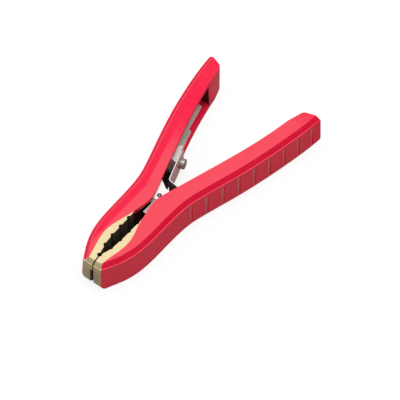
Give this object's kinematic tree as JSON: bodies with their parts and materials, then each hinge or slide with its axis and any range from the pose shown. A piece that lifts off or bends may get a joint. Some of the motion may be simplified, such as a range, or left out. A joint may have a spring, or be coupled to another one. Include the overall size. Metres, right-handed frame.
{
  "type": "welding electrode holder",
  "caption": "Hand-held tong electrode holder: red two-piece handles, notched brass jaws, sprung lever arm on a central pivot, cable socket in the fixed handle.",
  "frame": {"origin": "centre of the electrode seat between the jaw tips, half way up the jaws", "axes": "+X runs back along the centre line to the handles, +Y to the lever arm, +Z along the seat and the pivot"},
  "size_m": [0.2337, 0.1163, 0.03],
  "materials": {
    "red_plastic": "satin moulded",
    "jaw_brass": "cast and machined, dulled in the mouth",
    "frame_steel": "bright zinc plated",
    "tray_steel": "dull zinc plated",
    "spring_steel": "tempered, bright edges",
    "button_steel": "turned",
    "fastener_steel": "zinc plated",
    "copper": "rolled copper",
    "socket_brass": "turned",
    "bush_rubber": "matte"
  },
  "bodies": {
    "fixed_arm": {"fixed_body": "red_plastic", "fixed_cover": "red_plastic", "fixed_cover_screws": "fastener_steel", "fixed_jaw": "jaw_brass", "fixed_jaw_screws": "fastener_steel", "fixed_frame": "frame_steel", "pivot_bush": "fastener_steel", "pivot_washers": "fastener_steel", "main_spring": "spring_steel", "spring_rivets": "fastener_steel", "conductor_bar": "copper", "conductor_screws": "fastener_steel", "cable_socket": "socket_brass", "cable_set_screws": "fastener_steel", "cable_bush": "bush_rubber"},
    "lever_arm": {"lever_body": "red_plastic", "lever_cover": "red_plastic", "lever_cover_screws": "fastener_steel", "lever_jaw": "jaw_brass", "lever_jaw_screws": "fastener_steel", "lever_frame": "frame_steel", "lever_tray": "tray_steel", "spring_seat": "tray_steel", "stop_button": "button_steel", "pivot_pin": "fastener_steel"}
  },
  "joints": [
    {"name": "lever_pivot", "type": "hinge", "parent": "fixed_arm", "child": "lever_arm", "pos_m": [0.0785, 0, 0], "axis": [0, 0, 1], "range_deg": [-28, 0], "stiffness_Nm_per_rad": 6, "springref_deg": 20.05, "deforming": ["main_spring"]}
  ]
}
